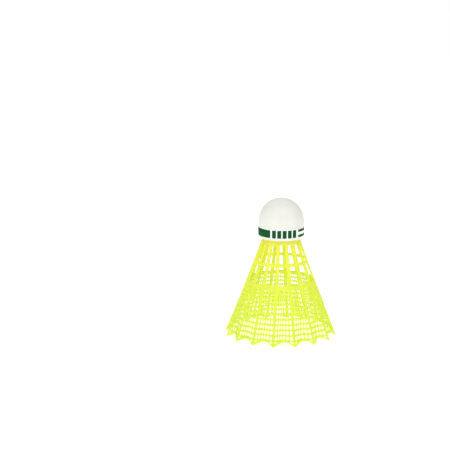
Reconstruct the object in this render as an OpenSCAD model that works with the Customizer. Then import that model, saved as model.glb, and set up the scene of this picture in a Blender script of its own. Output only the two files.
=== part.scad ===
// Nylon badminton shuttlecock, standing on the hem of its skirt with the cork up.
// The origin is the centre of the hem circle, +Z is the flight axis towards the cork.

/* [Base] */
// Diameter of the base over its leather cover
base_d = 26.5; // [25:0.1:28]
// Straight height of the base's side, from its flat face to the start of the dome
base_side_h = 10; // [9:0.1:12]
// Radius of the rounded corner between the side and the flat face
base_corner_r = 1.3; // [0.8:0.1:1.6]
// Thickness of the leather cover
cover_t = 0.45; // [0.3:0.05:0.6]
// Inner radius of the cover's edge, where it is turned over the flat face
cover_tuck_r = 9.5; // [8.5:0.1:10]
// Thickness of the tape around the base
band_t = 0.15; // [0.1:0.01:0.3]
// Height of the tape
band_h = 5.6; // [5:0.1:7]
// Thickness of the printed marks on the tape
print_t = 0.05; // [0.03:0.01:0.1]
// Height of the printed marks
print_h = 4.6; // [3:0.1:5]

/* [Skirt] */
// Height of the skirt, from the plane of its tips to the flat face of the base
skirt_h = 58; // [55:0.5:64]
// Radius of the circle through the tips of the hem
hem_r = 33; // [29:0.5:34]
// Radius of the skirt where it meets the base
collar_r = 10.9; // [10:0.1:11.5]
// How far the skirt's side bows inwards half way up
side_bow = 0.4; // [0:0.1:1]
// Number of stems, and of vanes between them
stems = 16; // [12:1:18]
// Rows of openings in each vane
net_rows = 11; // [6:1:12]
// Depth of a vane's pleat at the hem
pleat_depth = 2; // [0:0.1:3]
// Share of a vane between the stem on its left and the valley of its pleat, at the hem
pleat_valley = 0.4; // [0.3:0.05:0.7]
// Height at which the pleats have faded out
pleat_top = 20; // [12:1:30]
// Height of the hem's edge in the valley between two tips
scallop_h = 2; // [0:0.1:3]
// Width of a stem at the hem
stem_w_hem = 1.3; // [1:0.1:2]
// Width of a stem beside the windows
stem_w_top = 2.1; // [1.5:0.1:2.2]
// Radial thickness of a stem at the hem
stem_t_hem = 0.8; // [0.7:0.1:1.4]
// Radial thickness of a stem at the collar
stem_t_top = 1.4; // [1.2:0.1:2]
// Thickness of a vane between its stems
vane_t = 0.45; // [0.35:0.05:0.8]
// Width of the strand along a pleat's valley
valley_w = 0.7; // [0.5:0.1:0.9]

/* [Plug] */
// Outer diameter of the hollow plug that is glued into the cork
plug_d = 11; // [10:0.5:14]
// Length of the plug above the skirt's flange
plug_len = 8; // [6:0.5:9]
// Wall of the plug
plug_wall = 1.4; // [1:0.1:2]
// Thickness of the glue around the plug
glue_t = 0.15; // [0.1:0.05:0.3]

/* [Hidden] */

$fn = 96;
nylon = [0.86, 1.0, 0.13];
face_z = skirt_h;
core_face_z = face_z + cover_t;
dome_z = face_z + base_side_h;
plug_r = plug_d / 2;
bore_r = plug_r + glue_t;
bore_end_gap = 0.5;

band_z = face_z + base_corner_r;
print_z = band_z + (band_h - print_h) / 2;
band_r = base_d / 2 + band_t;

flange_t = 1;
flange_r = collar_r + 0.5;
collar_h = 1;
shell_top_z = face_z - flange_t / 2;

// Heights of the skirt's zones: net, windows, tie ring, slots and collar.
hem_border_h = 3.4;
window_z = 0.586 * skirt_h;
ring_z = 0.762 * skirt_h;
slot_z = 0.797 * skirt_h;
slot_top_z = face_z - flange_t - collar_h;
net_ring_w = 0.85;
window_border_h = 0.9;

// Marks around the tape, the same twice over: a long bar, a row of short bars, a pair of stripes.
mark_turns = 2;
first_mark_angle = -184;
long_mark_angle = 62;
short_marks = 5;
short_mark_start = 67;
short_mark_angle = 10;
short_mark_pitch = 13.3;
stripe_start = 137;
stripe_angle = 36;
stripe_h = 1.4;

function mix(a, b, t) = a + (b - a) * t;
function smooth(t) = let (c = min(max(t, 0), 1)) c * c * (3 - 2 * c);
function arc(cx, cy, r, from, to, steps) =
    [for (i = [0:steps]) let (a = mix(from, to, i / steps)) [cx + r * cos(a), cy + r * sin(a)]];

// ---- base ----

// Half outline of the base's solid, at a depth below the cover's outer surface.
function base_side(depth) = concat(
    arc(base_d / 2 - base_corner_r, face_z + base_corner_r, base_corner_r - depth, -90, 0, 6),
    arc(0, dome_z, base_d / 2 - depth, 0, 90, 24));

module cork_core() {
    color([0.78, 0.60, 0.40])
    difference() {
        rotate_extrude() polygon(concat([[0, core_face_z]], base_side(cover_t)));
        translate([0, 0, face_z]) cylinder(r = bore_r, h = plug_len + bore_end_gap);
    }
}

module leather_cover() {
    inner = base_side(cover_t);
    color([0.95, 0.95, 0.92])
    rotate_extrude()
    polygon(concat(
        [[cover_tuck_r, face_z]],
        base_side(0),
        [for (i = [len(inner) - 1:-1:0]) inner[i]],
        [[cover_tuck_r, core_face_z]]));
}

// A length of thin ring on the base's side, from one angle round to another.
module side_strip(r, t, z, h, from, angle) {
    rotate([0, 0, from])
    translate([0, 0, z])
    rotate_extrude(angle = angle) translate([r, 0]) square([t, h]);
}

module speed_band() {
    color([0.98, 0.98, 0.97]) side_strip(base_d / 2, band_t, band_z, band_h, 0, 360);
}

module band_print() {
    color([0.02, 0.30, 0.12])
    for (turn = [0:mark_turns - 1])
        rotate([0, 0, first_mark_angle + turn * 360 / mark_turns]) {
            side_strip(band_r, print_t, print_z, print_h, 0, long_mark_angle);
            for (i = [0:short_marks - 1])
                side_strip(band_r, print_t, print_z, print_h,
                    short_mark_start + i * short_mark_pitch, short_mark_angle);
            for (z = [print_z, print_z + print_h - stripe_h])
                side_strip(band_r, print_t, z, stripe_h, stripe_start, stripe_angle);
        }
}

// Glue: a washer between the flange and the cork's face, and a sleeve around the plug.
module glue_bond() {
    color([0.90, 0.86, 0.70])
    difference() {
        union() {
            translate([0, 0, face_z]) cylinder(r = cover_tuck_r, h = cover_t);
            translate([0, 0, face_z]) cylinder(r = bore_r, h = plug_len);
        }
        translate([0, 0, face_z - 1]) cylinder(r = plug_r, h = plug_len + 2);
    }
}

// ---- skirt ----

function cone_r(z) = mix(hem_r, collar_r, z / skirt_h) - side_bow * sin(180 * z / skirt_h);
function pleat_at(z) = pleat_depth * smooth(1 - z / pleat_top);
function valley_share(z) = mix(pleat_valley, 0.5, smooth(z / pleat_top));
function stem_w(z) = mix(stem_w_hem, stem_w_top, smooth(z / window_z));
function stem_t(z) = mix(stem_t_hem, stem_t_top, z / skirt_h);

// Heights of the row lines, from the hem up. Each row of the net is an opening and a ring above it.
net_pitch = (window_z - window_border_h - hem_border_h + net_ring_w) / net_rows;
function net_lines() = [for (i = [0:net_rows - 1], top = [0, 1])
    hem_border_h + i * net_pitch + top * (net_pitch - net_ring_w)];
row_z = concat([0], net_lines(), [window_z, ring_z, slot_z, slot_top_z, shell_top_z]);
rows = len(row_z) - 1;

// What fills the row above each line: 0 is solid, 1 leaves the net's openings, 2 leaves stems alone.
function row_kind(i) =
    i <= 2 * net_rows ? i % 2 :
    i == 2 * net_rows + 1 || i == 2 * net_rows + 3 ? 2 : 0;

// Each sector has four columns: stem, net, valley strand, net.
sector_cols = 4;
cols = stems * sector_cols;
function is_solid(i, j) =
    i >= 0 && i < rows && (
        row_kind(i) == 0 ||
        j % sector_cols == 0 ||
        (row_kind(i) == 1 && j % sector_cols == 2));

// Width across a column line, as a share of the sector, with the stem's middle at 0.
function line_share(k, z) =
    let (sector_w = 360 / stems * cone_r(z) * PI / 180)
    k == 0 ? -stem_w(z) / 2 / sector_w :
    k == 1 ? stem_w(z) / 2 / sector_w :
    valley_share(z) + (k == 2 ? -1 : 1) * valley_w / 2 / sector_w;

// A point of the skirt's wall. side is 0 on the outer face and 1 on the inner face.
function wall_point(i, j, side) =
    let (
        k = j % sector_cols,
        valley = k >= 2,
        z = row_z[i] + (i == 0 && valley ? scallop_h : 0),
        angle = (floor(j / sector_cols) + 0.5 + line_share(k, z)) * 360 / stems,
        r = cone_r(z) - (valley ? pleat_at(z) : 0) - side * (valley ? vane_t : stem_t(z)))
    [r * cos(angle), r * sin(angle), z];

function point_index(i, j, side) = (i * cols + (j + cols) % cols) * 2 + side;

// The wall is a closed grid: two skins, and a side wall wherever a filled cell meets an open one.
module skirt_wall() {
    points = [for (i = [0:rows], j = [0:cols - 1], side = [0, 1]) wall_point(i, j, side)];
    skins = [for (i = [0:rows - 1], j = [0:cols - 1], side = [0, 1]) if (is_solid(i, j))
        let (
            a = point_index(i, j, side),
            b = point_index(i, j + 1, side),
            c = point_index(i + 1, j + 1, side),
            d = point_index(i + 1, j, side))
        each side == 0 ? [[a, c, b], [a, d, c]] : [[a, b, c], [a, c, d]]];
    edges = [for (i = [0:rows - 1], j = [0:cols - 1]) if (is_solid(i, j)) each [
        if (!is_solid(i - 1, j)) [[i, j], [i, j + 1]],
        if (!is_solid(i + 1, j)) [[i + 1, j + 1], [i + 1, j]],
        if (!is_solid(i, j - 1 + cols)) [[i + 1, j], [i, j]],
        if (!is_solid(i, j + 1)) [[i, j + 1], [i + 1, j + 1]]]];
    walls = [for (e = edges)
        let (
            a = point_index(e[0][0], e[0][1], 0),
            b = point_index(e[1][0], e[1][1], 0),
            c = point_index(e[1][0], e[1][1], 1),
            d = point_index(e[0][0], e[0][1], 1))
        each [[a, b, c], [a, c, d]]];
    polyhedron(points = points, faces = concat(skins, walls), convexity = 20);
}

module skirt() {
    color(nylon)
    difference() {
        union() {
            skirt_wall();
            translate([0, 0, face_z - flange_t]) cylinder(r = flange_r, h = flange_t);
            translate([0, 0, face_z - flange_t]) cylinder(r = plug_r, h = flange_t + plug_len);
        }
        translate([0, 0, face_z - flange_t - 1]) cylinder(r = plug_r - plug_wall, h = plug_len + flange_t + 2);
    }
}

skirt();
cork_core();
leather_cover();
speed_band();
band_print();
glue_bond();
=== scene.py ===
import math
import random

import bmesh
import bpy
from mathutils import Matrix, Vector


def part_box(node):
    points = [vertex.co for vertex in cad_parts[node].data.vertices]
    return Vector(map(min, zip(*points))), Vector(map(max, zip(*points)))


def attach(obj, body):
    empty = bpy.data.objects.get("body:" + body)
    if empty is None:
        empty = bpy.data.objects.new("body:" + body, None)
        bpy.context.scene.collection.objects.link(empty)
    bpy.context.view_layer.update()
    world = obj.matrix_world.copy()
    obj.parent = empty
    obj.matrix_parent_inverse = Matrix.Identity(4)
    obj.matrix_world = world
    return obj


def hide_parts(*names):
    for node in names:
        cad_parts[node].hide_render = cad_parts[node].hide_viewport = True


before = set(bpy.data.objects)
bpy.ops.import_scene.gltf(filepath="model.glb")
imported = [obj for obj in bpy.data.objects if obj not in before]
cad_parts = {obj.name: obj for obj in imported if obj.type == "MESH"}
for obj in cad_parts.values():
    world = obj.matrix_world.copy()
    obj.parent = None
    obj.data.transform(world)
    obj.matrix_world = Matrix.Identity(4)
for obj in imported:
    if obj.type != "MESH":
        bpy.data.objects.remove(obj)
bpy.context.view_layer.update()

MM = 0.001

# ---- sizes taken from the CAD frame ----
base_low, base_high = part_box("leather_cover")
plug_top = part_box("skirt")[1].z
tape_low, tape_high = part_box("speed_band")
print_low, print_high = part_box("band_print")
core_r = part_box("cork_core")[1].x
face_z = base_low.z
base_r = base_high.x
dome_z = base_high.z - base_r
tape_r = tape_high.x
hem_r = max(v.co.xy.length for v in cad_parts["skirt"].data.vertices)

# ---- sizes that the frame's boxes don't give, the same as in the CAD ----
STEMS = 16
SECTOR = 2 * math.pi / STEMS
COLLAR_R = 10.9 * MM
SIDE_BOW = 0.4 * MM
PLUG_R, PLUG_BORE = 5.5 * MM, 4.1 * MM
FLANGE_R = COLLAR_R + 0.5 * MM
FLANGE_T = 1.0 * MM
BASE_CORNER = 1.3 * MM
TUCK_R = 9.5 * MM


def mix(a, b, t):
    return a + (b - a) * t


def smooth(t):
    t = min(max(t, 0.0), 1.0)
    return t * t * (3 - 2 * t)


def grid_object(name, points, faces):
    mesh = bpy.data.meshes.new(name)
    mesh.from_pydata(points, [], faces)
    mesh.validate()
    for poly in mesh.polygons:
        poly.use_smooth = True
    obj = bpy.data.objects.new(name, mesh)
    bpy.context.scene.collection.objects.link(obj)
    return obj


def face_outwards(bm):
    """Turns a closed mesh's faces so that they all point out of it."""
    bmesh.ops.recalc_face_normals(bm, faces=bm.faces)
    if bm.calc_volume(signed=True) < 0:
        bmesh.ops.reverse_faces(bm, faces=bm.faces)


def clean(obj):
    """Takes out points that no face uses, joins points that coincide and turns the faces outwards."""
    bm = bmesh.new()
    bm.from_mesh(obj.data)
    bmesh.ops.delete(bm, geom=[v for v in bm.verts if not v.link_faces], context="VERTS")
    bmesh.ops.remove_doubles(bm, verts=bm.verts, dist=1e-6)
    bmesh.ops.dissolve_degenerate(bm, dist=1e-7, edges=bm.edges)
    face_outwards(bm)
    bm.to_mesh(obj.data)
    bm.free()


def subdivide(obj, levels):
    mod = obj.modifiers.new("round", "SUBSURF")
    mod.levels = levels
    mod.render_levels = levels


# ---- node material helpers ----
def new_material(name):
    mat = bpy.data.materials.new(name)
    mat.use_nodes = True
    nodes, links = mat.node_tree.nodes, mat.node_tree.links
    nodes.clear()
    out = nodes.new("ShaderNodeOutputMaterial")
    bsdf = nodes.new("ShaderNodeBsdfPrincipled")
    links.new(bsdf.outputs["BSDF"], out.inputs["Surface"])
    return mat, nodes, links, bsdf, out


def noise(nodes, links, scale, detail=4.0, rough=0.55, stretch=None):
    coord = nodes.new("ShaderNodeTexCoord")
    tex = nodes.new("ShaderNodeTexNoise")
    tex.inputs["Scale"].default_value = scale
    tex.inputs["Detail"].default_value = detail
    tex.inputs["Roughness"].default_value = rough
    if stretch:
        mapping = nodes.new("ShaderNodeMapping")
        mapping.inputs["Scale"].default_value = stretch
        links.new(coord.outputs["Object"], mapping.inputs["Vector"])
        links.new(mapping.outputs["Vector"], tex.inputs["Vector"])
    else:
        links.new(coord.outputs["Object"], tex.inputs["Vector"])
    return tex


def ramp(nodes, links, source, stops):
    node = nodes.new("ShaderNodeValToRGB")
    elements = node.color_ramp.elements
    while len(elements) < len(stops):
        elements.new(0.5)
    for element, (at, colour) in zip(elements, stops):
        element.position = at
        element.color = (*colour, 1.0)
    links.new(source, node.inputs["Fac"])
    return node


def bump(nodes, links, source, distance, strength=1.0, under=None):
    node = nodes.new("ShaderNodeBump")
    node.inputs["Strength"].default_value = strength
    node.inputs["Distance"].default_value = distance
    links.new(source, node.inputs["Height"])
    if under is not None:
        links.new(under.outputs["Normal"], node.inputs["Normal"])
    return node


def height_between(nodes, links, low, high):
    """0 at height low and 1 at height high, in metres on the object."""
    coord = nodes.new("ShaderNodeTexCoord")
    split = nodes.new("ShaderNodeSeparateXYZ")
    links.new(coord.outputs["Object"], split.inputs["Vector"])
    span = nodes.new("ShaderNodeMapRange")
    span.inputs["From Min"].default_value = low
    span.inputs["From Max"].default_value = high
    links.new(split.outputs["Z"], span.inputs["Value"])
    return span


def mix_colour(nodes, links, fac, a, b, blend="MIX"):
    node = nodes.new("ShaderNodeMix")
    node.data_type = "RGBA"
    node.blend_type = blend
    if isinstance(fac, float):
        node.inputs[0].default_value = fac
    else:
        links.new(fac, node.inputs[0])
    for socket, value in ((node.inputs[6], a), (node.inputs[7], b)):
        if isinstance(value, tuple):
            socket.default_value = (*value, 1.0)
        else:
            links.new(value, socket)
    return node.outputs[2]


def nylon_material():
    """Moulded translucent fluorescent nylon: light passes through the thin net, and a weak emission
    paints a glow on it that stands in for fluorescence.
    """
    mat, nodes, links, bsdf, out = new_material("nylon")
    along = height_between(nodes, links, 0.0, face_z)
    body = ramp(nodes, links, along.outputs["Result"], [
        (0.0, (0.81, 0.93, 0.10)),
        (0.45, (0.885, 0.95, 0.117)),
        (0.75, (0.92, 0.945, 0.13)),
        (1.0, (0.94, 0.93, 0.13)),
    ])
    cloud = noise(nodes, links, 160.0, 3.0)
    tone = ramp(nodes, links, cloud.outputs["Fac"], [
        (0.3, (0.96, 0.97, 0.85)), (0.7, (1.0, 1.0, 1.0))])
    colour = mix_colour(nodes, links, 1.0, body.outputs["Color"], tone.outputs["Color"], "MULTIPLY")
    links.new(colour, bsdf.inputs["Base Color"])
    grain = noise(nodes, links, 2600.0, 2.0)
    flow = noise(nodes, links, 500.0, 3.0, stretch=(1.0, 1.0, 0.18))
    fine = bump(nodes, links, grain.outputs["Fac"], 0.00002, 0.35)
    waves = bump(nodes, links, flow.outputs["Fac"], 0.00006, 0.4, under=fine)
    links.new(waves.outputs["Normal"], bsdf.inputs["Normal"])
    gloss = ramp(nodes, links, flow.outputs["Fac"], [
        (0.3, (0.30, 0.30, 0.30)), (0.7, (0.42, 0.42, 0.42))])
    links.new(gloss.outputs["Color"], bsdf.inputs["Roughness"])
    bsdf.inputs["IOR"].default_value = 1.53
    bsdf.inputs["Specular IOR Level"].default_value = 0.35
    # Painted glow: a weak emission in the nylon's own colour makes the skirt shine a little without any
    # lamp.
    links.new(colour, bsdf.inputs["Emission Color"])
    bsdf.inputs["Emission Strength"].default_value = 0.06
    through = nodes.new("ShaderNodeBsdfTranslucent")
    links.new(colour, through.inputs["Color"])
    links.new(waves.outputs["Normal"], through.inputs["Normal"])
    both = nodes.new("ShaderNodeMixShader")
    both.inputs["Fac"].default_value = 0.38
    links.new(bsdf.outputs["BSDF"], both.inputs[1])
    links.new(through.outputs["BSDF"], both.inputs[2])
    links.new(both.outputs["Shader"], out.inputs["Surface"])
    return mat


def leather_material():
    """Thin white leather with a fine cell grain and soft creases, with painted shade darkening the
    grain's cell edges as if shade gathered in its pits.
    """
    mat, nodes, links, bsdf, _ = new_material("leather")
    blotch = noise(nodes, links, 95.0, 5.0)
    colour = ramp(nodes, links, blotch.outputs["Fac"], [
        (0.28, (0.775, 0.775, 0.71)), (0.66, (0.845, 0.847, 0.79))])
    coord = nodes.new("ShaderNodeTexCoord")
    cells = nodes.new("ShaderNodeTexVoronoi")
    cells.feature = "DISTANCE_TO_EDGE"
    cells.inputs["Scale"].default_value = 1900.0
    links.new(coord.outputs["Object"], cells.inputs["Vector"])
    # Painted shade: the colour is made a little darker along the grain's cell edges, where shade would
    # gather in the pits.
    lines = ramp(nodes, links, cells.outputs["Distance"], [
        (0.0, (0.945, 0.945, 0.92)), (0.13, (1.0, 1.0, 1.0))])
    pit_shaded_grain = mix_colour(
        nodes, links, 1.0, colour.outputs["Color"], lines.outputs["Color"], "MULTIPLY")
    links.new(pit_shaded_grain, bsdf.inputs["Base Color"])
    creases = noise(nodes, links, 700.0, 5.0, 0.6)
    grain = bump(nodes, links, cells.outputs["Distance"], 0.0001, 0.7)
    folds = bump(nodes, links, creases.outputs["Fac"], 0.00016, 0.5, under=grain)
    links.new(folds.outputs["Normal"], bsdf.inputs["Normal"])
    rough = ramp(nodes, links, creases.outputs["Fac"], [
        (0.3, (0.38, 0.38, 0.38)), (0.7, (0.52, 0.52, 0.52))])
    links.new(rough.outputs["Color"], bsdf.inputs["Roughness"])
    bsdf.inputs["Sheen Weight"].default_value = 0.08
    bsdf.inputs["Specular IOR Level"].default_value = 0.4
    return mat


def tape_material():
    """Coated white tape with a faint fibre and a thin gloss coat."""
    mat, nodes, links, bsdf, _ = new_material("tape")
    fibre = noise(nodes, links, 900.0, 3.0, stretch=(1.0, 1.0, 2.5))
    colour = ramp(nodes, links, fibre.outputs["Fac"], [
        (0.3, (0.88, 0.885, 0.87)), (0.7, (0.94, 0.945, 0.93))])
    links.new(colour.outputs["Color"], bsdf.inputs["Base Color"])
    ripple = bump(nodes, links, fibre.outputs["Fac"], 0.00002, 0.3)
    links.new(ripple.outputs["Normal"], bsdf.inputs["Normal"])
    bsdf.inputs["Roughness"].default_value = 0.34
    bsdf.inputs["Coat Weight"].default_value = 0.2
    bsdf.inputs["Coat Roughness"].default_value = 0.25
    return mat


def ink_material():
    """Dark green printed ink, slightly uneven."""
    mat, nodes, links, bsdf, _ = new_material("ink")
    patch = noise(nodes, links, 1100.0, 4.0)
    colour = ramp(nodes, links, patch.outputs["Fac"], [
        (0.25, (0.010, 0.110, 0.028)), (0.75, (0.004, 0.080, 0.018))])
    links.new(colour.outputs["Color"], bsdf.inputs["Base Color"])
    dots = bump(nodes, links, patch.outputs["Fac"], 0.00001, 0.3)
    links.new(dots.outputs["Normal"], bsdf.inputs["Normal"])
    bsdf.inputs["Roughness"].default_value = 0.6
    bsdf.inputs["Specular IOR Level"].default_value = 0.04
    return mat


def cork_material():
    """Natural cork: brown grains with dark pits."""
    mat, nodes, links, bsdf, _ = new_material("cork")
    coord = nodes.new("ShaderNodeTexCoord")
    cells = nodes.new("ShaderNodeTexVoronoi")
    cells.inputs["Scale"].default_value = 620.0
    links.new(coord.outputs["Object"], cells.inputs["Vector"])
    spots = noise(nodes, links, 420.0, 6.0, 0.65)
    tone = ramp(nodes, links, spots.outputs["Fac"], [
        (0.30, (0.16, 0.075, 0.03)), (0.42, (0.46, 0.27, 0.13)), (0.75, (0.66, 0.44, 0.25))])
    colour = mix_colour(
        nodes, links, 0.25, tone.outputs["Color"], cells.outputs["Color"], "SOFT_LIGHT")
    links.new(colour, bsdf.inputs["Base Color"])
    pits = bump(nodes, links, spots.outputs["Fac"], 0.00025, 0.5)
    links.new(pits.outputs["Normal"], bsdf.inputs["Normal"])
    bsdf.inputs["Roughness"].default_value = 0.85
    return mat


def glue_material():
    """Cured adhesive, yellowish and glossy."""
    mat, nodes, links, bsdf, _ = new_material("glue")
    cloud = noise(nodes, links, 500.0, 4.0)
    colour = ramp(nodes, links, cloud.outputs["Fac"], [
        (0.3, (0.72, 0.62, 0.36)), (0.7, (0.86, 0.80, 0.60))])
    links.new(colour.outputs["Color"], bsdf.inputs["Base Color"])
    lumps = bump(nodes, links, cloud.outputs["Fac"], 0.0001, 0.5)
    links.new(lumps.outputs["Normal"], bsdf.inputs["Normal"])
    bsdf.inputs["Roughness"].default_value = 0.18
    return mat


# ---- skirt ----
PLEAT_DEPTH = 2.9 * MM
PLEAT_TOP = 20.5 * MM
SCALLOP = 2.6 * MM
VANE_T = 0.46 * MM
RING_W = 0.72 * MM
# Middle and height of each row of openings, from the hem up: even rows, then closer and lower ones.
FIRST_ROW, ROW_PITCH = 4.75 * MM, 2.92 * MM
EVEN_ROWS, LAST_ROW = 6, 29.5 * MM
net_rows = [(FIRST_ROW + n * ROW_PITCH, 2.14 * MM) for n in range(EVEN_ROWS)]
gap = ROW_PITCH
while net_rows[-1][0] < LAST_ROW:
    net_rows.append((net_rows[-1][0] + gap * 0.97, 2.1 * MM * (gap / ROW_PITCH) ** 1.5))
    gap *= 0.955
NET_TOP = 33.4 * MM
TIE_LOW, TIE_HIGH = 43.1 * MM, 45.3 * MM
SLOT_TOP = 55.2 * MM
# Rows and columns beside an edge, which keep it firm when the mesh is subdivided.
EDGE_ROW = 0.5 * MM
STEM_FOOT = 0.16 * MM
STRAND_W, VALLEY_W = 0.44 * MM, 0.55 * MM


def cone_r(z):
    t = z / face_z
    return mix(hem_r, COLLAR_R, t) - SIDE_BOW * math.sin(math.pi * t)


def pleat(z):
    return PLEAT_DEPTH * smooth(1 - z / PLEAT_TOP)


def valley_share(z):
    return mix(0.40, 0.5, smooth(z / (22 * MM)))


def stem_width(z):
    return mix(1.25, 2.1, smooth(z / (36 * MM))) * MM * mix(0.35, 1.0, smooth(z / (2.2 * MM)))


def stem_depth(z):
    return mix(0.95, 1.35, z / face_z) * MM


# Columns of one sector: stem foot, stem, stem foot, then six openings with strands between them.
# Each entry is what the column is, and line_share places it; a column runs from its line to the next.
COLS = ["foot", "stem", "foot"] + ["open", "strand"] * 5 + ["open"]
N_COLS = len(COLS)
TOTAL = STEMS * N_COLS


def line_share(k, z):
    """Where line k of a sector lies at height z, as a share of the sector from its stem's middle."""
    sector_w = SECTOR * cone_r(z)
    half = stem_width(z) / 2 / sector_w
    foot = min(STEM_FOOT / sector_w, 0.3 * half)
    if k <= 3:
        return (-half, -half + foot, half - foot, half)[k]
    # Strand edges: lines 4 to 13 are the two edges of each of the five strands.
    strand, edge = divmod(k - 4, 2)
    v = valley_share(z)
    if strand < 2:
        middle = mix(half, v, (strand + 1) / 3)
    elif strand == 2:
        middle = v
    else:
        middle = mix(v, 1 - half, (strand - 2) / 3)
    width = (VALLEY_W if strand == 2 else STRAND_W) / sector_w
    return middle + (edge - 0.5) * width


def fold(share, z):
    """Depth of the pleat at a share of the sector, straight from the stems to the valley."""
    v = valley_share(z)
    share = min(max(share, 0.0), 1.0)
    t = share / v if share < v else (1 - share) / (1 - v)
    return pleat(z) * t


def hem_height(share):
    """Height of the hem's edge: pointed tips at the stems and a hollow between them."""
    share = share % 1.0
    t = share ** 1.22
    return SCALLOP * (1 - abs(2 * t - 1) ** 1.9)


def wall_rows():
    """The lines between rows, as (height, share of the hem's edge they follow), and each row's kind."""
    low = net_rows[0][0] - net_rows[0][1] / 2
    rows = [
        (0.0, 1.0, "solid"),
        (0.85 * MM, 0.62, "solid"),
        (1.75 * MM, 0.40, "corner"),
        (low - RING_W, 0.0, "solid"),
    ]
    for row_middle, high in net_rows:
        rows.append((row_middle - high / 2, 0.0, "net"))
        rows.append((row_middle + high / 2, 0.0, "solid"))
    rows += [
        (NET_TOP, 0.0, "stems"),
        (NET_TOP + EDGE_ROW, 0.0, "stems"),
        (TIE_LOW - EDGE_ROW, 0.0, "stems"),
        (TIE_LOW, 0.0, "solid"),
        (TIE_HIGH, 0.0, "stems"),
        (TIE_HIGH + EDGE_ROW, 0.0, "stems"),
        (SLOT_TOP - EDGE_ROW, 0.0, "stems"),
        (SLOT_TOP, 0.0, "solid"),
        (SLOT_TOP + 0.6 * MM, 0.0, "solid"),
    ]
    return [(z, hem) for z, hem, _ in rows], [kind for _, _, kind in rows]


row_lines, row_kinds = wall_rows()
# Above the wall the grid goes on as the collar, the flange and the hollow plug.
# Each line is its outer and its inner (radius, height).
under_face = face_z - 0.01 * MM
cap = [
    ((cone_r(face_z - 1.3 * MM), face_z - 1.3 * MM),
     (cone_r(face_z - 1.6 * MM) - 1.5 * MM, face_z - 1.6 * MM)),
    ((FLANGE_R, face_z - FLANGE_T), (cone_r(face_z) - 2.2 * MM, face_z - 1.02 * MM)),
    ((FLANGE_R, face_z - 0.1 * MM), (cone_r(face_z) - 2.7 * MM, face_z - FLANGE_T)),
    ((FLANGE_R - 0.15 * MM, under_face), (PLUG_BORE + 0.35 * MM, face_z - FLANGE_T)),
    ((PLUG_R, under_face), (PLUG_BORE, face_z - 0.9 * MM)),
    ((PLUG_R, face_z + 0.4 * MM), (PLUG_BORE, face_z)),
    ((PLUG_R, plug_top - 0.3 * MM), (PLUG_BORE, plug_top - 0.3 * MM)),
    ((PLUG_R - 0.1 * MM, plug_top), (PLUG_BORE + 0.1 * MM, plug_top)),
]
kinds = row_kinds + ["solid"] * (len(cap) - 1)
n_lines = len(row_lines) + len(cap)


def skirt_point(i, j, side):
    """A point of the grid. side is 0 on the outer face and 1 on the inner face."""
    sector, k = divmod(j % TOTAL, N_COLS)
    if i >= len(row_lines):
        r, z = cap[i - len(row_lines)][side]
        share = line_share(k, face_z)
    else:
        z, hem = row_lines[i]
        share = line_share(k, z)
        z += hem * hem_height(share)
        if k in (1, 2):
            r = cone_r(z) - side * stem_depth(z)
        else:
            inset = 0.22 * MM if k in (0, 3) else 0.14 * MM
            r = cone_r(z) - inset - fold(share, z) - side * VANE_T
            if i >= len(row_lines) - 2:
                r = cone_r(z) - side * 1.2 * MM
            elif "stems" in (row_kinds[i], row_kinds[i - 1]):
                tall = 0.95 if k in (0, 3) else 0.8
                r = cone_r(z) - 0.16 * MM - side * tall * MM
    angle = (sector + 0.5 + share) * SECTOR
    return (r * math.cos(angle), r * math.sin(angle), z)


def filled(i, j):
    """Whether the cell above line i and beside line j is material."""
    if i < 0 or i >= n_lines - 1:
        return False
    kind, k = kinds[i], j % N_COLS
    what = COLS[k]
    if kind == "solid" or what in ("foot", "stem"):
        return True
    if kind == "stems":
        return False
    # The corner row is open only beside the stems.
    return what == "strand" or (kind == "corner" and k not in (3, N_COLS - 1))


def grid_index(i, j, side):
    return (i * TOTAL + j % TOTAL) * 2 + side


def build_skirt():
    """A closed grid: two skins, and a side wall wherever a filled cell meets an open one."""
    points = [skirt_point(i, j, side)
              for i in range(n_lines) for j in range(TOTAL) for side in (0, 1)]
    faces = []
    for i in range(n_lines - 1):
        for j in range(TOTAL):
            if not filled(i, j):
                continue
            corners = ((i, j), (i, j + 1), (i + 1, j + 1), (i + 1, j))
            faces.append([grid_index(*c, 0) for c in corners])
            faces.append([grid_index(*c, 1) for c in reversed(corners)])
            for other, (a, b) in (
                ((i - 1, j), (corners[0], corners[1])),
                ((i, j + 1), (corners[1], corners[2])),
                ((i + 1, j), (corners[2], corners[3])),
                ((i, j - 1), (corners[3], corners[0])),
            ):
                if not filled(*other):
                    faces.append([grid_index(*b, 0), grid_index(*a, 0),
                                  grid_index(*a, 1), grid_index(*b, 1)])
    skirt = grid_object("skirt_moulding", points, faces)
    clean(skirt)
    subdivide(skirt, 1)
    return skirt


# ---- base ----
def lathe(name, profile, steps):
    """A closed profile of (radius, height) turned about the axis."""
    n = len(profile)
    points, faces = [], []
    for s in range(steps):
        a = 2 * math.pi * s / steps
        points += [(r * math.cos(a), r * math.sin(a), z) for r, z in profile]
    for s in range(steps):
        t = (s + 1) % steps
        for k in range(n):
            m = (k + 1) % n
            faces.append([s * n + k, t * n + k, t * n + m, s * n + m])
    obj = grid_object(name, points, faces)
    clean(obj)
    return obj


def arc(cx, cz, r, start, end, steps):
    angles = [mix(start, end, n / steps) for n in range(steps + 1)]
    return [(cx + r * math.cos(a), cz + r * math.sin(a)) for a in angles]


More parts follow.
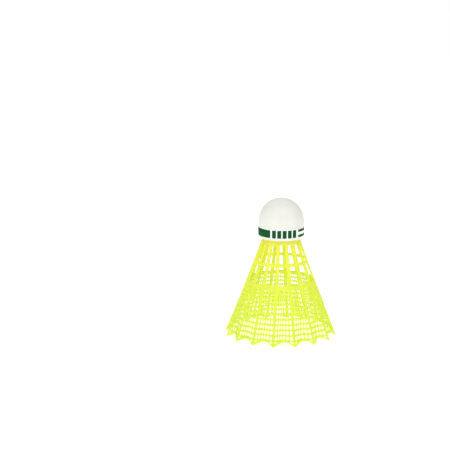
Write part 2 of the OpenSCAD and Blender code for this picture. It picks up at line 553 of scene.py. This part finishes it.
def base_outline(depth):
    """From the turned-in edge on the flat face, round the corner, up the side and over the dome."""
    side_z = face_z + BASE_CORNER
    points = [(TUCK_R, face_z + depth)]
    points += arc(base_r - BASE_CORNER, side_z, BASE_CORNER - depth, -math.pi / 2, 0, 6)
    points += [(base_r - depth, mix(side_z, dome_z, t)) for t in (0.25, 0.5, 0.75)]
    points += arc(0, dome_z, base_r - depth, 0, math.pi / 2, 28)
    points[-1] = (0.0, points[-1][1])
    return points


def build_cover():
    outer = base_outline(0.0)
    inner = base_outline(base_r - core_r)
    return lathe("leather_cover_skin", outer + inner[::-1], 160)


# The tape's lap lies in a gap of the print: where it starts, how far it goes on, and its ramp.
LAP_START, LAP_ANGLE, LAP_RAMP = math.radians(127.3), math.radians(5), math.radians(1)
TAPE_STEPS, LAP_STEPS = 216, 5

# Marks around the tape, the same twice over: a long bar, short bars and a pair of stripes, in degrees.
MARK_TURNS = 2
FIRST_MARK = -184
LONG_MARK = 62
SHORT_MARKS, SHORT_START, SHORT_PITCH, SHORT_MARK = 5, 67, 13.3, 10
STRIPE_START, STRIPE_MARK = 137, 36
STRIPE_H = 1.4 * MM
MARK_CORNER = 0.25 * MM


def strip(name, r, t, low, high, start, sweep, steps, corner):
    """A curved strip on the base's side, closed all round, with its four corners rounded."""
    length = sweep * r
    ends = [corner * (1 - math.cos(math.radians(a))) for a in (0, 30, 60, 90)]
    along = ends + [mix(corner, length - corner, n / steps) for n in range(1, steps)]
    along += [length - e for e in reversed(ends)]
    points, faces = [], []
    for at in along:
        a = start + at / r
        short = max(corner - min(at, length - at), 0.0)
        cut = corner - math.sqrt(max(corner ** 2 - short ** 2, 0.0))
        for z in (low + cut, high - cut):
            for rr in (r, r + t):
                points.append((rr * math.cos(a), rr * math.sin(a), z))
    for s in range(len(along) - 1):
        b, c = 4 * s, 4 * (s + 1)
        faces += [[b + 1, c + 1, c + 3, b + 3], [b, b + 2, c + 2, c],
                  [b, c, c + 1, b + 1], [b + 2, b + 3, c + 3, c + 2]]
    e = 4 * (len(along) - 1)
    faces += [[0, 1, 3, 2], [e, e + 2, e + 3, e + 1]]
    mark = grid_object(name, points, faces)
    clean(mark)
    return mark


def build_tape():
    """The tape goes once round, with its end lapped over its start in a gap of the print."""
    t = tape_r - base_r
    rise = 2 * math.pi - LAP_RAMP
    along = [rise * n / TAPE_STEPS for n in range(TAPE_STEPS + 1)]
    along += [rise + LAP_RAMP * n / LAP_STEPS for n in range(1, LAP_STEPS + 1)]
    along += [2 * math.pi + LAP_ANGLE * n / LAP_STEPS for n in range(1, LAP_STEPS + 1)]
    steps = len(along) - 1
    points, faces = [], []
    for at in along:
        a = LAP_START + at
        lift = 1.03 * t * smooth((at - rise) / LAP_RAMP)
        for z, rr in ((tape_low.z, 0), (tape_low.z, t), (tape_high.z, t), (tape_high.z, 0)):
            r = base_r + rr + lift
            points.append((r * math.cos(a), r * math.sin(a), z))
    for s in range(steps):
        b, c = 4 * s, 4 * (s + 1)
        for k in range(4):
            m = (k + 1) % 4
            faces.append([b + k, b + m, c + m, c + k])
    e = 4 * steps
    faces += [[3, 2, 1, 0], [e, e + 1, e + 2, e + 3]]
    tape = grid_object("speed_tape", points, faces)
    clean(tape)
    for poly in tape.data.polygons:
        poly.use_smooth = False
    bevel = tape.modifiers.new("edge", "BEVEL")
    bevel.width = 0.04 * MM
    bevel.segments = 2
    return tape


def build_marks():
    """Plain bars and stripes, the same twice over round the tape."""
    low, high = print_low.z, print_high.z
    spans = [(0, LONG_MARK, low, high)]
    spans += [(SHORT_START + SHORT_PITCH * n, SHORT_MARK, low, high) for n in range(SHORT_MARKS)]
    spans += [(STRIPE_START, STRIPE_MARK, low, low + STRIPE_H),
              (STRIPE_START, STRIPE_MARK, high - STRIPE_H, high)]
    made = []
    for turn in range(MARK_TURNS):
        first = math.radians(FIRST_MARK + 360 / MARK_TURNS * turn)
        for n, (at, wide, z0, z1) in enumerate(spans):
            made.append(strip(f"print_mark_{turn}_{n}", tape_r, print_high.x - tape_r, z0, z1,
                              first + math.radians(at), math.radians(wide),
                              max(12, wide), MARK_CORNER))
    return made


def join(objs, name):
    bpy.ops.object.select_all(action="DESELECT")
    for o in objs:
        o.select_set(True)
    bpy.context.view_layer.objects.active = objs[0]
    bpy.ops.object.join()
    objs[0].name = name
    objs[0].data.name = name
    return objs[0]


def build_glue_bead():
    """A thin uneven bead of glue squeezed out round the flange's edge, under the base's flat face."""
    rng = random.Random(7)
    ring, small = 120, 10
    swell = [rng.uniform(0.7, 1.1) for _ in range(ring)]
    swell = [(swell[n - 1] + 2 * swell[n] + swell[(n + 1) % ring]) / 4 for n in range(ring)]
    points, faces = [], []
    for s in range(ring):
        a = 2 * math.pi * s / ring
        size = 0.24 * MM * swell[s]
        for k in range(small):
            b = 2 * math.pi * k / small
            r = FLANGE_R - 0.02 * MM + size * math.cos(b)
            z = face_z - 0.05 * MM + size * math.sin(b)
            points.append((r * math.cos(a), r * math.sin(a), z))
    for s in range(ring):
        t = (s + 1) % ring
        for k in range(small):
            m = (k + 1) % small
            faces.append([s * small + k, t * small + k, t * small + m, s * small + m])
    bead = grid_object("glue_bead", points, faces)
    clean(bead)
    return bead


def finish_piece(obj, material, slot, *nodes):
    obj.data.materials.clear()
    obj.data.materials.append(material)
    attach(obj, "root")
    if nodes:
        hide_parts(*nodes)


nylon, leather, tape_mat, ink = nylon_material(), leather_material(), tape_material(), ink_material()
cork, glue = cork_material(), glue_material()

finish_piece(build_skirt(), nylon, "nylon", "skirt")
finish_piece(build_cover(), leather, "leather", "leather_cover")
finish_piece(build_tape(), tape_mat, "tape", "speed_band")
finish_piece(join(build_marks(), "print_marks"), ink, "ink", "band_print")
finish_piece(build_glue_bead(), glue, "glue")
for name, material in (("cork_core", cork), ("glue_bond", glue)):
    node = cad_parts[name]
    node.data.materials.clear()
    node.data.materials.append(material)

# ---- floor and light ----
bpy.ops.mesh.primitive_plane_add(size=40.0, location=(0, 0, 0))
floor = bpy.context.active_object
floor.name = "floor"
floor_mat, _, _, f_bsdf, _ = new_material("floor_paper")
f_bsdf.inputs["Base Color"].default_value = (0.93, 0.93, 0.93, 1.0)
f_bsdf.inputs["Roughness"].default_value = 0.9
f_bsdf.inputs["Specular IOR Level"].default_value = 0.1
f_bsdf.inputs["Emission Color"].default_value = (1.0, 1.0, 1.0, 1.0)
f_bsdf.inputs["Emission Strength"].default_value = 0.56
floor.data.materials.append(floor_mat)

world = bpy.data.worlds.new("studio")
bpy.context.scene.world = world
world.use_nodes = True
background = world.node_tree.nodes["Background"]
background.inputs["Color"].default_value = (1.0, 1.0, 1.0, 1.0)
background.inputs["Strength"].default_value = 0.47


def soft_light(name, place, aim, size, power):
    data = bpy.data.lights.new(name, "AREA")
    data.shape = "RECTANGLE"
    data.size, data.size_y = size
    data.energy = power
    lamp = bpy.data.objects.new(name, data)
    bpy.context.scene.collection.objects.link(lamp)
    lamp.location = place
    lamp.rotation_euler = (Vector(aim) - Vector(place)).to_track_quat("-Z", "Y").to_euler()


middle = (0.0, 0.0, 0.04)
soft_light("key_softbox", (-0.12, -0.46, 0.82), middle, (0.5, 0.5), 3.9)
soft_light("fill_softbox", (0.65, -0.45, 0.5), middle, (0.6, 0.6), 0.35)
soft_light("back_softbox", (0.08, 0.5, 0.8), middle, (0.8, 0.5), 0.9)

# ---- camera: the photograph's view, with the shuttlecock where it stands in that frame ----
DOWN = math.radians(12.05)
ROUND = math.radians(-1.75)
FOCAL, SENSOR = 120.0, 36.0
DISTANCE = 0.8756
SIDEWAYS, UPWARDS = 0.03286, 0.00286

back = Vector((math.sin(ROUND) * math.cos(DOWN), -math.cos(ROUND) * math.cos(DOWN), math.sin(DOWN)))
right = Vector((math.cos(ROUND), math.sin(ROUND), 0.0))
up = back.cross(right)
cam_data = bpy.data.cameras.new("camera")
cam_data.lens = FOCAL
cam_data.sensor_width = SENSOR
cam_data.clip_start = 0.01
camera = bpy.data.objects.new("camera", cam_data)
bpy.context.scene.collection.objects.link(camera)
place = Vector((0.0, 0.0, dome_z)) + back * DISTANCE - right * SIDEWAYS - up * UPWARDS
turn = Matrix((right, up, back)).transposed().to_4x4()
turn.translation = place
camera.matrix_world = turn
bpy.context.scene.camera = camera
bpy.context.scene.view_settings.view_transform = "Standard"

bpy.context.view_layer.update()
